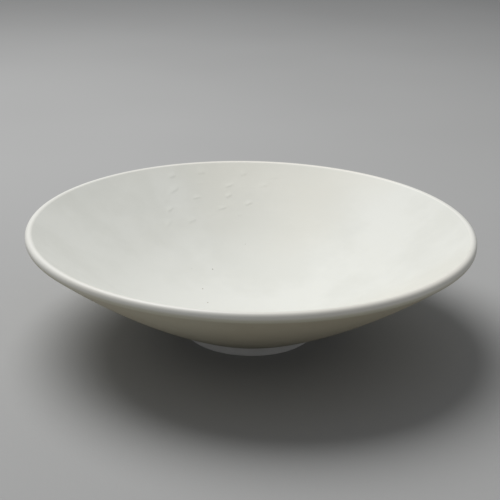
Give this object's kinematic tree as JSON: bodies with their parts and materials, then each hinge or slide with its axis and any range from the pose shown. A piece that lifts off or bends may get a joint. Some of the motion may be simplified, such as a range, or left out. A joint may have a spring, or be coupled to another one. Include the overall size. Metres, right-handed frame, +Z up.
{
  "type": "evaporating dish",
  "caption": "Wide, shallow round dish of glazed white porcelain with a rolled lip, on a low bare foot ring, for evaporating or drying.",
  "frame": {"origin": "on the table, at the centre of the foot ring", "axes": "+Z up along the axis the dish was turned on; the raised runs lie towards +Y and a little to -X"},
  "size_m": [0.2, 0.2, 0.052],
  "materials": {
    "clay": "fired white clay, matt",
    "biscuit": "bare biscuit, matt and fine-grained, worn smooth where it stands",
    "slip": "fired slip, matt",
    "white_glaze": "satin white glaze",
    "ivory_glaze": "satin warm ivory glaze",
    "lip_glaze": "satin white glaze, smoother than the inside",
    "speck": "fused kiln grit"
  },
  "bodies": {
    "root": {"bowl_body": "clay", "foot_ring": "biscuit", "luting_slip": "slip", "inner_glaze": "white_glaze", "outer_glaze": "ivory_glaze", "lip_glaze": "lip_glaze", "recess_glaze": "white_glaze", "glaze_runs": "white_glaze", "kiln_specks": "speck"}
  },
  "joints": []
}
